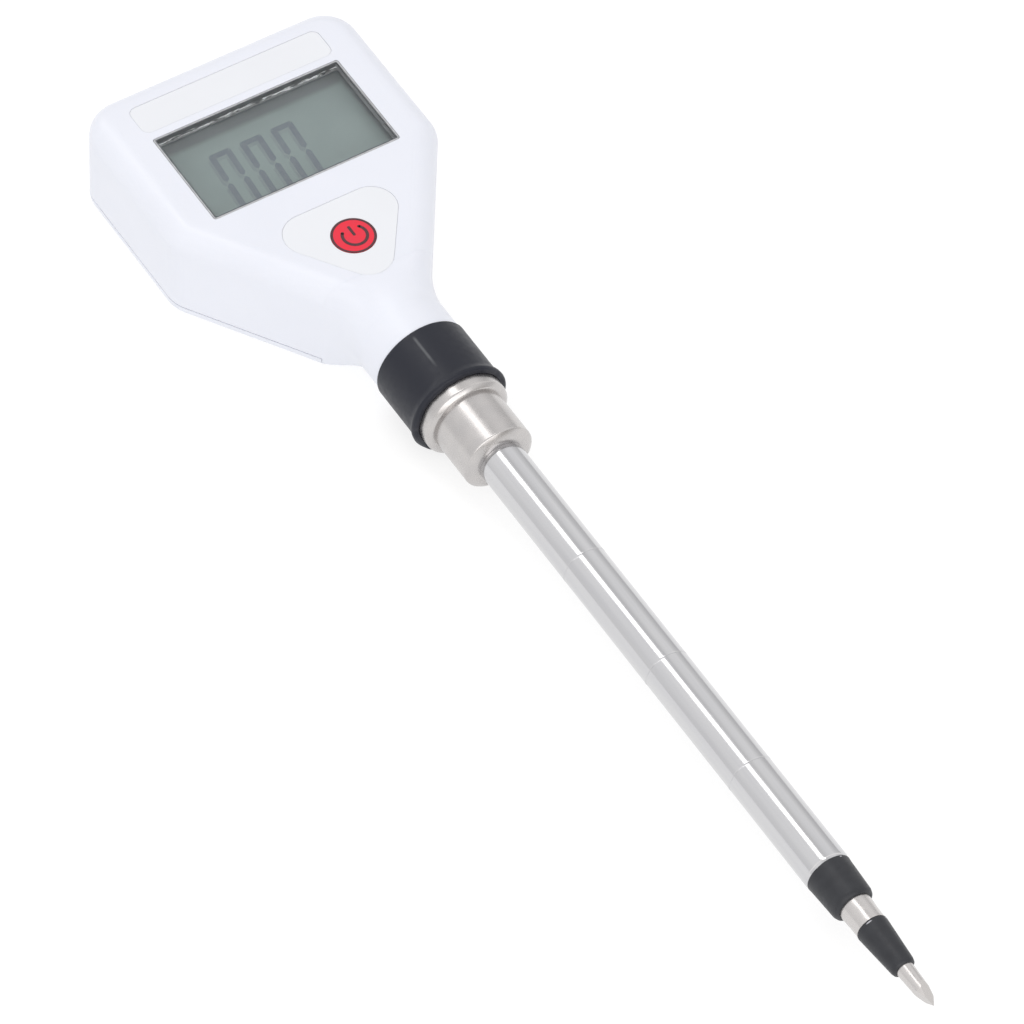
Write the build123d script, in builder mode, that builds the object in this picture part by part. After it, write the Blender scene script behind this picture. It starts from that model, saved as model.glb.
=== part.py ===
from build123d import *

import os
from math import atan2, cos, hypot, radians, sin, sqrt, tan

# Soil moisture meter: a flat hexagonal display head on a stainless probe.
# It lies on its back. +X runs across the display, +Y towards the top of the head,
# -Y towards the probe's point and +Z out of the display. Millimetres throughout.

os.makedirs("parts", exist_ok=True)

# ---- driving dimensions ----
overall_length = 270.7
axis_height = 11.4          # probe axis above the back of the head

head_half_width = 31.7
head_front = 23.25          # height of the display face above the back
head_corner_radius = 8.0
front_edge_radius = 5.0
back_edge_radius = 1.2
taper_angle = 33.65         # each lower side leans in by this angle from the probe axis
wall = 2.0
cover_thickness = 2.0

neck_radius = 10.25
neck_bore_radius = 8.3
neck_blend_radius = 17.7

window_width = 44.5
window_height = 25.3
window_corner_radius = 0.6
key_radius = 4.7
key_travel = 0.4
key_clearance = 0.08
film_thickness = 0.25       # overlay and label films
film_recess = 0.3
film_gap = 0.06             # all round each film in its recess
label_width = 45.4
label_height = 7.6
label_corner_radius = 1.8
overlay_corner_radius = 5.5
seam_height = 0.25          # open joint between front shell and rear cover
seam_depth = 0.4

board_bottom = 13.2
board_thickness = 1.6
lcd_front = 18.2            # front face of the liquid crystal glass

tube_radius = 5.0
tube_seat_radius = 4.7      # the tube's end is turned down to seat in the fitting
tube_bore_radius = 4.0
groove_pitch = 30.0
groove_width = 0.45
groove_depth = 0.15
barrel_radius = 8.0
flange_radius = 9.7
collar_radius = 10.6
collar_lip_radius = 11.15

cell_radius = 5.25          # AAA cell
cell_length = 44.5
cell_height = 7.45


def from_tip(distance):
    """Y of a station measured along the probe from its point."""
    return distance - overall_length / 2


# ---- stations along the meter ----
head_top = from_tip(overall_length)
window_top = from_tip(255.3)
key_y = from_tip(212.15)
taper_start = from_tip(230.3)
cover_end = from_tip(202.3)
neck_end = from_tip(172.0)
collar_top = from_tip(185.4)
collar_lip = from_tip(169.8)
flange_front = from_tip(166.9)
barrel_front = from_tip(154.7)
first_groove = from_tip(123.3)
tube_front = from_tip(36.0)
tube_back = from_tip(190.0)
sleeve_front = from_tip(26.4)
ring_front = from_tip(21.2)
cone_front = from_tip(9.8)
tip_point = from_tip(0.0)

# ---- derived values ----
taper_slope = tan(radians(taper_angle))
board_top = board_bottom + board_thickness
inner_front = head_front - wall
window_y = window_top - window_height / 2
blend_length = 9.5
blend_end = cover_end - blend_length
axis_line = Axis((0, 0, axis_height), (0, 1, 0))

# screw positions as (x, y)
housing_screw_xy = [
    (side * x, from_tip(y)) for side in (-1, 1) for x, y in ((25.4, 262.6), (15.0, 214.5))
]
board_screw_xy = [(side * 27.5, from_tip(y)) for side in (-1, 1) for y in (236.0, 252.0)]
cell_xs = (-5.6, 5.6)


def save(builder, name):
    """Name one finished piece and write it to its own STEP file."""
    builder.part.label = name
    export_step(builder.part, f"parts/{name}.step")


def half_width(y):
    """Half the width of the head's outer plan on its lower sides."""
    return head_half_width - (taper_start - y) * taper_slope


def head_plan(inset=0.0):
    """Plan of the head drawn in by inset: a rectangle whose lower end tapers to the neck."""
    low = taper_start - (head_half_width - neck_radius) / taper_slope
    with BuildSketch() as plan:
        with BuildLine():
            Polyline(
                (-neck_radius, low),
                (-head_half_width, taper_start),
                (-head_half_width, head_top),
                (head_half_width, head_top),
                (head_half_width, taper_start),
                (neck_radius, low),
                close=True,
            )
        make_face()
        fillet(plan.vertices().sort_by(Axis.Y)[2:], head_corner_radius)
        if inset:
            offset(amount=-inset, mode=Mode.REPLACE)
    return plan.sketch


def key_triangle(radius):
    """Rounded triangle round the power key: flat side to the display, apex to the neck."""
    lobe_y, apex_y = from_tip(217.0), from_tip(206.5)
    with BuildSketch() as triangle:
        with BuildLine():
            Polyline((-7.6, lobe_y), (7.2, lobe_y), (-0.2, apex_y), close=True)
        make_face()
        offset(amount=radius, kind=Kind.ARC, mode=Mode.REPLACE)
    return triangle.sketch


def neck_section(y):
    """Eight arcs of the neck blend at y, between the head's rounded box and the neck's circle."""
    ahead = y - blend_end
    side = neck_radius + neck_blend_radius - sqrt(neck_blend_radius**2 - ahead**2)
    lap = 0.06
    widest = half_width(cover_end) + lap
    across = (widest - side - lap) / (widest - neck_radius - lap)
    t = 1 - ahead / blend_length
    down = t * t * (3 - 2 * t)
    top, bottom = head_front - axis_height + lap, -axis_height
    stretch = 1 / cos(radians(taper_angle))
    diagonal = 1 - cos(radians(45))
    bulge = 0.005

    def corner(x_sign, z, z_sign, radius):
        reach = radius * stretch
        return [
            (x_sign * widest, z - z_sign * radius),
            (x_sign * (widest - reach * diagonal), z - z_sign * radius * diagonal),
            (x_sign * (widest - reach), z),
        ]

    right_top = corner(1, top, 1, front_edge_radius)
    left_top = corner(-1, top, 1, front_edge_radius)[::-1]
    left_bottom = corner(-1, bottom, -1, back_edge_radius)
    right_bottom = corner(1, bottom, -1, back_edge_radius)[::-1]
    box = [
        *right_top,
        (0, top + bulge),
        *left_top,
        (-widest - bulge, (top + bottom) / 2),
        *left_bottom,
        (0, bottom - bulge),
        *right_bottom,
        (widest + bulge, (top + bottom) / 2),
    ]
    ends = [atan2(z, x) for x, z in box[::2]]
    points = []
    for i, (x, z) in enumerate(box):
        angle = ends[i // 2]
        if i % 2:
            following = ends[(i // 2 + 1) % 8]
            if following < angle:
                following += radians(360)
            angle = (angle + following) / 2
        round_x, round_z = neck_radius * cos(angle), neck_radius * sin(angle)
        points.append(
            ((1 - across) * x + across * round_x, (1 - down) * z + down * round_z)
        )
    return points


def cross_plane(y):
    """Plane across the probe at y: local x is X and local y is height above the axis."""
    return Plane(origin=(0, y, axis_height), x_dir=(1, 0, 0), z_dir=(0, -1, 0))


def turned(profile):
    """Solid of revolution about the probe axis from (y, radius) points."""
    with BuildPart(mode=Mode.PRIVATE) as piece:
        with BuildSketch(Plane.XY.offset(axis_height)):
            with BuildLine():
                Polyline(*[(radius, y) for y, radius in profile], close=True)
            make_face()
        revolve(axis=axis_line)
    return piece.part


# ---- front shell: display face, side walls and neck in one ABS moulding ----
with BuildPart() as front_shell:
    with BuildSketch(Plane.XY.offset(cover_thickness)):
        add(head_plan())
    extrude(amount=head_front - cover_thickness)
    fillet(front_shell.faces().sort_by(Axis.Z)[-1].edges(), front_edge_radius)
    split(bisect_by=cross_plane(cover_end), keep=Keep.BOTTOM)
    sections = 6
    for step in range(sections):
        station = cover_end - blend_length * step / (sections - 1)
        points = neck_section(station)
        with BuildSketch(cross_plane(station)):
            with BuildLine():
                for i in range(0, 16, 2):
                    ThreePointArc(points[i], points[i + 1], points[(i + 2) % 16])
            make_face()
    loft()
    with BuildSketch(cross_plane(blend_end)):
        Circle(neck_radius)
    extrude(amount=blend_end - neck_end)
    # hollow: the head's cavity and the neck's bore
    with BuildSketch(Plane.XY.offset(cover_thickness)):
        add(head_plan(wall))
    extrude(amount=inner_front - cover_thickness, mode=Mode.SUBTRACT)
    with BuildSketch(cross_plane(from_tip(208.0))):
        Circle(neck_bore_radius)
    extrude(amount=from_tip(208.0) - neck_end, mode=Mode.SUBTRACT)
    # screw bosses and the shorter posts that carry the circuit board
    with BuildSketch(Plane.XY.offset(cover_thickness)):
        with Locations(*housing_screw_xy):
            Circle(3.0)
    extrude(amount=inner_front - cover_thickness + 0.2)
    with BuildSketch(Plane.XY.offset(board_top)):
        with Locations(*board_screw_xy):
            Circle(2.1)
    extrude(amount=inner_front - board_top + 0.2)
    with BuildSketch(Plane.XY.offset(cover_thickness)):
        with Locations(*housing_screw_xy):
            Circle(1.15)
    extrude(amount=9.5, mode=Mode.SUBTRACT)
    with BuildSketch(Plane.XY.offset(board_top)):
        with Locations(*board_screw_xy):
            Circle(0.85)
    extrude(amount=4.5, mode=Mode.SUBTRACT)
    # openings in the display face: window and key hole, and recesses for the two films
    with BuildSketch(Plane.XY.offset(inner_front - 1)):
        with Locations((0, window_y)):
            RectangleRounded(window_width, window_height, window_corner_radius)
        with Locations((0, key_y)):
            Circle(key_radius + key_clearance)
    extrude(amount=wall + 2, mode=Mode.SUBTRACT)
    with BuildSketch(Plane.XY.offset(head_front - film_recess)):
        add(key_triangle(overlay_corner_radius + film_gap))
        with Locations((0, from_tip(261.0))):
            RectangleRounded(
                label_width + 2 * film_gap, label_height + 2 * film_gap, label_corner_radius + film_gap
            )
    extrude(amount=film_recess + 0.3, mode=Mode.SUBTRACT)
    # the open joint that shows above the rear cover's rim
    with BuildSketch(Plane.XY.offset(cover_thickness)):
        add(head_plan())
        add(head_plan(seam_depth), mode=Mode.SUBTRACT)
        with Locations((0, (cover_end + head_top) / 2)):
            Rectangle(2 * head_half_width, head_top - cover_end, mode=Mode.INTERSECT)
    extrude(amount=seam_height, mode=Mode.SUBTRACT)
save(front_shell, "front_shell")

# ---- rear cover: a flat ABS plate, open at the top end for the battery door ----
door_half_width = 14.0
door_start = from_tip(221.0)
with BuildPart() as rear_cover:
    with BuildSketch():
        add(head_plan())
    extrude(amount=cover_thickness)
    fillet(rear_cover.faces().sort_by(Axis.Z)[0].edges(), back_edge_radius)
    split(bisect_by=cross_plane(cover_end + 0.2), keep=Keep.BOTTOM)
    with BuildSketch():
        with Locations((0, (door_start + head_top + 1) / 2)):
            Rectangle(2 * door_half_width, head_top + 1 - door_start)
    extrude(amount=cover_thickness, mode=Mode.SUBTRACT)
    with BuildSketch(Plane.XY.offset(0.75)):
        with Locations((0, (door_start + head_top + 1) / 2)):
            Rectangle(2 * door_half_width + 1.6, head_top + 1 - door_start)
    extrude(amount=0.8, mode=Mode.SUBTRACT)
    with Locations(*[(x, y, 0) for x, y in housing_screw_xy]):
        with Locations(Rotation(180, 0, 0)):
            CounterBoreHole(1.5, 2.6, 0.9, cover_thickness)
save(rear_cover, "rear_cover")

# ---- housing screws: four pan-head self-tapping screws, driven from the back ----
with BuildPart() as housing_screws:
    with BuildSketch(Plane.XY.offset(0.1)):
        with Locations(*housing_screw_xy):
            Circle(2.4)
    extrude(amount=0.8)
    with BuildSketch(Plane.XY.offset(0.8)):
        with Locations(*housing_screw_xy):
            Circle(1.12)
    extrude(amount=8.5)
    with BuildSketch(Plane.XY.offset(0.1)):
        with Locations(*housing_screw_xy):
            Rectangle(2.6, 0.5)
            Rectangle(0.5, 2.6)
    extrude(amount=0.5, mode=Mode.SUBTRACT)
save(housing_screws, "housing_screws")

# ---- battery door: slides out of the rear cover's grooves over the top end ----
door_gap = 0.15
with BuildPart() as battery_door:
    with BuildSketch():
        add(head_plan())
    extrude(amount=cover_thickness - door_gap)
    fillet(battery_door.faces().sort_by(Axis.Z)[0].edges(), back_edge_radius)
    with BuildSketch():
        with Locations((0, (door_start + door_gap + head_top) / 2)):
            Rectangle(2 * (door_half_width - door_gap), head_top - door_start - door_gap)
    extrude(amount=cover_thickness, mode=Mode.INTERSECT)
    with BuildSketch(Plane.XY.offset(0.85)):
        with Locations((0, (door_start + head_top) / 2)):
            Rectangle(2 * (door_half_width + 0.65), head_top - door_start - 4)
    extrude(amount=0.6)
    # finger grooves across the outer face
    with BuildSketch():
        with Locations((0, from_tip(259.0))):
            with GridLocations(0, 2.2, 1, 5):
                SlotOverall(14.0, 1.0)
    extrude(amount=0.4, mode=Mode.SUBTRACT)
save(battery_door, "battery_door")

# ---- battery tray: a box frame that holds the two cells between door and board ----
tray_low, tray_high = from_tip(219.4), from_tip(268.6)
tray_wall = 1.0
tray_inner_half = 11.1
with BuildPart() as battery_tray:
    with BuildSketch(Plane.XY.offset(cover_thickness + 0.05)):
        with Locations((0, (tray_low + tray_high) / 2)):
            Rectangle(2 * (tray_inner_half + tray_wall), tray_high - tray_low)
            Rectangle(2 * tray_inner_half, tray_high - tray_low - 2 * tray_wall, mode=Mode.SUBTRACT)
    extrude(amount=board_bottom - cover_thickness - 0.15)
save(battery_tray, "battery_tray")

# ---- battery cells: two AAA cells, head to tail, and their contacts ----
bay_low, bay_high = tray_low + tray_wall, tray_high - tray_wall
plate = 0.3
leaf_depth = bay_high - bay_low - cell_length - plate
nub_length = 0.9
with BuildPart() as battery_cells:
    for x, way in zip(cell_xs, (1, -1)):
        flat_end = bay_low + leaf_depth if way > 0 else bay_high - leaf_depth
        plane = Plane(origin=(x, flat_end, cell_height), x_dir=(1, 0, 0), z_dir=(0, way, 0))
        with BuildSketch(plane):
            Circle(cell_radius)
        extrude(amount=cell_length - nub_length)
        with BuildSketch(plane.offset(cell_length - nub_length)):
            Circle(1.9)
        extrude(amount=nub_length)
save(battery_cells, "battery_cells")

with BuildPart() as positive_contacts:
    for x, way in zip(cell_xs, (1, -1)):
        y = bay_high if way > 0 else bay_low
        plane = Plane(origin=(x, y, cell_height), x_dir=(1, 0, 0), z_dir=(0, -way, 0))
        with BuildSketch(plane):
            RectangleRounded(8.0, 8.0, 1.0)
        extrude(amount=plate)
save(positive_contacts, "positive_contacts")

with BuildPart() as negative_contacts:
    for x, way in zip(cell_xs, (1, -1)):
        y = bay_low if way > 0 else bay_high
        with BuildSketch(Plane(origin=(x - 3, y, cell_height), x_dir=(0, way, 0), z_dir=(1, 0, 0))):
            with BuildLine():
                Polyline(
                    (0, 3.8), (plate, 3.8), (plate, -2.6), (leaf_depth, 0.6), (leaf_depth, 1.4),
                    (leaf_depth - plate, 1.4), (leaf_depth - plate, 0.8), (plate, -3.1), (0, -3.1),
                    close=True,
                )
            make_face()
        extrude(amount=6.0)
save(negative_contacts, "negative_contacts")

# ---- main board: glass-fibre circuit board that follows the head's plan ----
board_end = from_tip(207.0)
with BuildPart() as main_board:
    with BuildSketch(Plane.XY.offset(board_bottom)):
        add(head_plan(wall + 0.4))
        with Locations(*housing_screw_xy):
            Circle(3.3, mode=Mode.SUBTRACT)
        with Locations(*board_screw_xy):
            Circle(1.1, mode=Mode.SUBTRACT)
    extrude(amount=board_thickness)
    split(bisect_by=cross_plane(board_end), keep=Keep.BOTTOM)
save(main_board, "main_board")

with BuildPart() as board_screws:
    with BuildSketch(Plane.XY.offset(board_bottom - 1.2)):
        with Locations(*board_screw_xy):
            Circle(1.8)
    extrude(amount=1.2)
    with BuildSketch(Plane.XY.offset(board_bottom - 0.2)):
        with Locations(*board_screw_xy):
            Circle(0.82)
    extrude(amount=5.6)
    with BuildSketch(Plane.XY.offset(board_bottom - 1.2)):
        with Locations(*board_screw_xy):
            Rectangle(2.0, 0.4)
            Rectangle(0.4, 2.0)
    extrude(amount=0.6, mode=Mode.SUBTRACT)
save(board_screws, "board_screws")

# ---- board parts: the processor and the small surface-mount components ----
with BuildPart() as microcontroller:
    with BuildSketch(Plane.XY.offset(board_bottom)):
        with Locations((17.5, from_tip(228.0))):
            RectangleRounded(7.0, 7.0, 0.4)
    extrude(amount=-1.0)
    with BuildSketch(Plane.XY.offset(board_bottom)):
        for turn in (0, 90):
            with Locations(Location((17.5, from_tip(228.0)), turn)):
                with GridLocations(0, 0.8, 1, 8):
                    Rectangle(9.0, 0.35)
    extrude(amount=-0.3)
save(microcontroller, "microcontroller")

small_part_xy = [(x, from_tip(y)) for y in (226.0, 230.0, 236.0, 240.0) for x in (-21.0, -17.5)]
with BuildPart() as board_components:
    with BuildSketch(Plane.XY.offset(board_bottom)):
        with Locations(*small_part_xy):
            Rectangle(2.0, 1.25)
    extrude(amount=-0.6)
    with BuildSketch(Plane.XY.offset(board_bottom)):
        with Locations((-18.5, from_tip(247.0))):
            Circle(3.0)
    extrude(amount=-5.5)
    with BuildSketch(Plane.XY.offset(board_bottom)):
        with Locations((18.0, from_tip(240.0))):
            RectangleRounded(8.0, 3.8, 1.8)
    extrude(amount=-3.5)
save(board_components, "board_components")

# ---- display stack: reflector, glass, holding frame, rubber connector and clear window ----
lcd_width, lcd_height, lcd_thickness = 48.6, 29.4, 1.8
with BuildPart() as lcd_glass:
    with BuildSketch(Plane.XY.offset(lcd_front - lcd_thickness)):
        with Locations((0, window_y)):
            Rectangle(lcd_width, lcd_height)
    extrude(amount=lcd_thickness)
save(lcd_glass, "lcd_glass")

reflector_thickness = 0.2
with BuildPart() as lcd_reflector:
    with BuildSketch(Plane.XY.offset(lcd_front - lcd_thickness - reflector_thickness)):
        with Locations((0, window_y - 1.5)):
            Rectangle(lcd_width - 2, lcd_height - 4.5)
    extrude(amount=reflector_thickness)
save(lcd_reflector, "lcd_reflector")

lens_flange_bottom = inner_front - 0.8
with BuildPart() as lcd_frame:
    with BuildSketch(Plane.XY.offset(board_top)):
        with Locations((0, window_y)):
            Rectangle(lcd_width + 2, lcd_height + 2)
            Rectangle(lcd_width + 0.2, lcd_height + 0.2, mode=Mode.SUBTRACT)
    extrude(amount=lcd_front - board_top)
    with BuildSketch(Plane.XY.offset(lcd_front)):
        with Locations((0, window_y)):
            Rectangle(lcd_width + 2, lcd_height + 2)
            Rectangle(window_width + 0.8, window_height + 0.8, mode=Mode.SUBTRACT)
    extrude(amount=lens_flange_bottom - lcd_front)
save(lcd_frame, "lcd_frame")

with BuildPart() as zebra_connector:
    with BuildSketch(Plane.XY.offset(board_top)):
        with Locations((0, window_y + lcd_height / 2 - 1.5)):
            Rectangle(44.0, 2.0)
    extrude(amount=lcd_front - lcd_thickness - board_top)
save(zebra_connector, "zebra_connector")

with BuildPart() as display_window:
    with BuildSketch(Plane.XY.offset(lens_flange_bottom)):
        with Locations((0, window_y)):
            Rectangle(window_width + 4, window_height + 4)
    extrude(amount=inner_front - lens_flange_bottom)
    with BuildSketch(Plane.XY.offset(inner_front)):
        with Locations((0, window_y)):
            RectangleRounded(window_width - 0.1, window_height - 0.1, window_corner_radius)
    extrude(amount=wall - 0.05)
save(display_window, "display_window")

# ---- power key: red cap held by a flange behind the face, on a tactile switch ----
key_top = head_front
switch_top = board_top + 3.6
plunger_top = switch_top + 0.8
with BuildPart() as power_button:
    with BuildSketch(Plane.XY.offset(inner_front - 0.1)):
        with Locations((0, key_y)):
            Circle(key_radius)
    extrude(amount=key_top - inner_front + 0.1)
    fillet(power_button.faces().sort_by(Axis.Z)[-1].edges(), 0.25)
    with BuildSketch(Plane.XY.offset(inner_front - 1.1)):
        with Locations((0, key_y)):
            Circle(key_radius + 1.0)
    extrude(amount=1.0)
    with BuildSketch(Plane.XY.offset(plunger_top)):
        with Locations((0, key_y)):
            Circle(2.0)
    extrude(amount=inner_front - 1.1 - plunger_top)
save(power_button, "power_button")

plunger_radius = 1.6
with BuildPart() as switch_plunger:
    with BuildSketch(Plane.XY.offset(plunger_top - 2.0)):
        with Locations((0, key_y)):
            Circle(plunger_radius)
    extrude(amount=2.0)
save(switch_plunger, "switch_plunger")

with BuildPart() as tact_switch:
    with BuildSketch(Plane.XY.offset(board_top)):
        with Locations((0, key_y)):
            Rectangle(6.0, 6.0)
    extrude(amount=switch_top - board_top)
    with BuildSketch(Plane.XY.offset(plunger_top - 2.0 - key_travel - 0.2)):
        with Locations((0, key_y)):
            Circle(plunger_radius + 0.08)
    extrude(amount=3.0, mode=Mode.SUBTRACT)
save(tact_switch, "tact_switch")

# ---- films: the triangular overlay round the key and the blank label over the display ----
film_bottom = head_front - film_recess
with BuildPart() as key_overlay:
    with BuildSketch(Plane.XY.offset(film_bottom)):
        add(key_triangle(overlay_corner_radius))
        with Locations((0, key_y)):
            Circle(key_radius + key_clearance, mode=Mode.SUBTRACT)
    extrude(amount=film_thickness)
save(key_overlay, "key_overlay")

with BuildPart() as blank_label:
    with BuildSketch(Plane.XY.offset(film_bottom)):
        with Locations((0, from_tip(261.0))):
            RectangleRounded(label_width, label_height, label_corner_radius)
    extrude(amount=film_thickness)
save(blank_label, "blank_label")

# ---- collar: black sleeve over the neck, flared where it meets the fitting ----
with BuildPart() as collar:
    add(
        turned(
            [
                (collar_top, neck_radius + 0.02),
                (collar_top, collar_radius - 0.15),
                (collar_top - 0.3, collar_radius),
                (collar_lip + 3.6, collar_radius),
                (collar_lip + 2.4, collar_radius + 0.2),
                (collar_lip + 1.4, collar_lip_radius),
                (collar_lip + 0.3, collar_lip_radius),
                (collar_lip, collar_lip_radius - 0.25),
                (collar_lip, neck_radius + 0.35),
                (neck_end + 0.8, neck_radius + 0.02),
            ]
        )
    )
save(collar, "collar")

# ---- probe fitting: turned steel flange and barrel with a spigot up the neck ----
spigot_radius = 8.2
with BuildPart() as probe_fitting:
    add(
        turned(
            [
                (tube_back, tube_seat_radius + 0.02),
                (tube_back, spigot_radius),
                (neck_end, spigot_radius),
                (neck_end, flange_radius),
                (flange_front + 0.9, flange_radius),
                (flange_front, flange_radius - 0.9),
                (flange_front, barrel_radius + 0.35),
                (flange_front - 0.35, barrel_radius),
                (barrel_front + 1.1, barrel_radius),
                (barrel_front, barrel_radius - 1.6),
                (barrel_front, tube_seat_radius + 0.02),
            ]
        )
    )
save(probe_fitting, "probe_fitting")

# ---- probe tube: stainless tube with three depth grooves a fixed pitch apart ----
with BuildPart() as probe_tube:
    outline = [
        (tube_back, tube_bore_radius),
        (tube_back, tube_seat_radius),
        (barrel_front, tube_seat_radius),
        (barrel_front, tube_radius),
    ]
    for count in range(3):
        groove = first_groove - count * groove_pitch
        outline += [
            (groove + groove_width / 2, tube_radius),
            (groove, tube_radius - groove_depth),
            (groove - groove_width / 2, tube_radius),
        ]
    outline += [
        (tube_front + 0.2, tube_radius),
        (tube_front, tube_radius - 0.2),
        (tube_front, tube_bore_radius),
    ]
    add(turned(outline))
save(probe_tube, "probe_tube")

# ---- probe nose: sleeve, ring electrode, cone, core and pointed tip electrode ----
socket_depth = 9.0
ring_stem_radius = 2.4
core_radius = 1.6
rod_radius = 1.0
with BuildPart() as insulator_sleeve:
    add(
        turned(
            [
                (tube_front + socket_depth, ring_stem_radius + 0.02),
                (tube_front + socket_depth, tube_bore_radius - 0.02),
                (tube_front, tube_bore_radius - 0.02),
                (tube_front, tube_radius - 0.05),
                (tube_front - 0.9, tube_radius - 0.15),
                (sleeve_front + 1.1, 4.55),
                (sleeve_front + 0.4, 4.3),
                (sleeve_front, 3.85),
                (sleeve_front, ring_stem_radius + 0.02),
            ]
        )
    )
save(insulator_sleeve, "insulator_sleeve")

ring_stem_end = sleeve_front + 22.0
with BuildPart() as ring_electrode:
    add(
        turned(
            [
                (ring_stem_end, core_radius + 0.02),
                (ring_stem_end, ring_stem_radius),
                (sleeve_front, ring_stem_radius),
                (sleeve_front, 3.5),
                ((sleeve_front + ring_front) / 2, 3.3),
                (ring_front, 3.3),
                (ring_front, core_radius + 0.02),
            ]
        )
    )
save(ring_electrode, "ring_electrode")

core_end = ring_stem_end + 8.0
with BuildPart() as core_insulator:
    add(
        turned(
            [
                (core_end, rod_radius + 0.02),
                (core_end, core_radius),
                (ring_front, core_radius),
                (ring_front, rod_radius + 0.02),
            ]
        )
    )
save(core_insulator, "core_insulator")

with BuildPart() as insulator_cone:
    add(
        turned(
            [
                (ring_front, rod_radius + 0.02),
                (ring_front, 3.15),
                (ring_front - 0.3, 3.4),
                (cone_front + 1.0, 2.62),
                (cone_front + 0.3, 2.42),
                (cone_front, 2.1),
                (cone_front, rod_radius + 0.02),
            ]
        )
    )
save(insulator_cone, "insulator_cone")

tip_radius = 1.85
facet_length = 6.0
rod_end = core_end + 4.0
with BuildPart() as tip_electrode:
    add(
        turned(
            [
                (rod_end, 0),
                (rod_end, rod_radius),
                (cone_front, rod_radius),
                (cone_front, tip_radius),
                (tip_point + 4.0, tip_radius - 0.25),
                (tip_point + 1.5, tip_radius - 0.75),
                (tip_point, 0.12),
                (tip_point, 0),
            ]
        )
    )
    # three flats ground to the point
    lean = tip_radius / hypot(tip_radius, facet_length)
    rise = facet_length / hypot(tip_radius, facet_length)
    for turn in (24, 144, 264):
        outward = (rise * sin(radians(turn)), -lean, rise * cos(radians(turn)))
        split(
            bisect_by=Plane(origin=(0, tip_point - 0.1, axis_height), z_dir=outward),
            keep=Keep.BOTTOM,
        )
save(tip_electrode, "tip_electrode")

# ---- leads: one wire from each electrode and from the fitting up to the board ----
wire_radius = 0.6
pad_y = from_tip(211.0)


def lead(x, start_y, start_z):
    """Wire along the probe from start_y to its pad under the board."""
    pad = (x * 1.6, pad_y, board_bottom - wire_radius)
    with BuildPart(mode=Mode.PRIVATE) as wire:
        with BuildLine() as route:
            FilletPolyline(
                (x, start_y, start_z),
                (x, from_tip(197.0), start_z),
                (pad[0], pad_y - 4.0, pad[2]),
                pad,
                radius=6.0,
            )
        with BuildSketch(Plane(origin=(x, start_y, start_z), z_dir=(0, 1, 0))):
            Circle(wire_radius)
        sweep(path=route.wire())
    return wire.part


with BuildPart() as tip_lead:
    add(lead(0.0, rod_end, axis_height))
save(tip_lead, "tip_lead")

with BuildPart() as ring_lead:
    add(lead(-2.3, ring_stem_end, axis_height))
save(ring_lead, "ring_lead")

with BuildPart() as ground_lead:
    add(lead(6.2, tube_back, axis_height))
save(ground_lead, "ground_lead")
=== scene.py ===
import math

import bmesh
import bpy
from mathutils import Matrix, Vector, noise


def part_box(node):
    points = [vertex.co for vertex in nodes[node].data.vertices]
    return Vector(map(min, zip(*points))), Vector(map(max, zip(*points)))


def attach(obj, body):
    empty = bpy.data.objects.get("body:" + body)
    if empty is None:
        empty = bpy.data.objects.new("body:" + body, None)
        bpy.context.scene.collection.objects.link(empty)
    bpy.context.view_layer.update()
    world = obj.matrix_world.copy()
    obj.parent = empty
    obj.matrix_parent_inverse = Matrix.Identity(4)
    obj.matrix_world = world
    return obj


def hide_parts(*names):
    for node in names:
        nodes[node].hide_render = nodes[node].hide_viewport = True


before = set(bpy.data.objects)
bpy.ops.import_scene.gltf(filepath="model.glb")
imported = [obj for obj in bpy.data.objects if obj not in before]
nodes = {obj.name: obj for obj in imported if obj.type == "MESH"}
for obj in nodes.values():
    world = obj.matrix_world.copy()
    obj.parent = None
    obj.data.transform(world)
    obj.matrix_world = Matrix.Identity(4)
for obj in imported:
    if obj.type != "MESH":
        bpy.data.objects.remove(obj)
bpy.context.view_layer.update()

# ---- front shell, rear cover, battery door and tray ----
# The head is moulded in white ABS with a fine satin spark finish. The front shell carries the
# neck, the flat rear cover is screwed on behind it, and the battery door slides over its top end.
mm = 0.001
ABS_WHITE = (0.73, 0.75, 0.812, 1)
ABS_SHADE = (0.712, 0.732, 0.794, 1)


def new_material(name, colour, roughness, metallic=0.0):
    """A material whose shader already has its even colour and gloss; returns it with its nodes."""
    material = bpy.data.materials.new(name)
    material.use_nodes = True
    shader = material.node_tree.nodes["Principled BSDF"]
    shader.inputs["Base Color"].default_value = colour
    shader.inputs["Roughness"].default_value = roughness
    shader.inputs["Metallic"].default_value = metallic
    return material, material.node_tree, shader


def add_node(tree, kind, **settings):
    """A new shader node with the given settings."""
    node = tree.nodes.new(kind)
    for key, value in settings.items():
        setattr(node, key, value)
    return node


def grain(tree, size, stretch=(1, 1, 1), detail=2.0):
    """Noise on the piece's own coordinates, with lumps about size metres across."""
    place = add_node(tree, "ShaderNodeTexCoord")
    mapping = add_node(tree, "ShaderNodeMapping")
    mapping.inputs["Scale"].default_value = [1 / (size * s) for s in stretch]
    texture = add_node(tree, "ShaderNodeTexNoise")
    texture.inputs["Scale"].default_value = 1.0
    texture.inputs["Detail"].default_value = detail
    tree.links.new(place.outputs["Object"], mapping.inputs["Vector"])
    tree.links.new(mapping.outputs["Vector"], texture.inputs["Vector"])
    return texture.outputs["Fac"]


def spread(tree, value, low, high, start=0.3, end=0.7):
    """Stretches a 0-1 pattern from start-end to low-high."""
    ranged = add_node(tree, "ShaderNodeMapRange")
    for name, number in zip(("From Min", "From Max", "To Min", "To Max"), (start, end, low, high)):
        ranged.inputs[name].default_value = number
    tree.links.new(value, ranged.inputs["Value"])
    return ranged.outputs["Result"]


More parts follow.
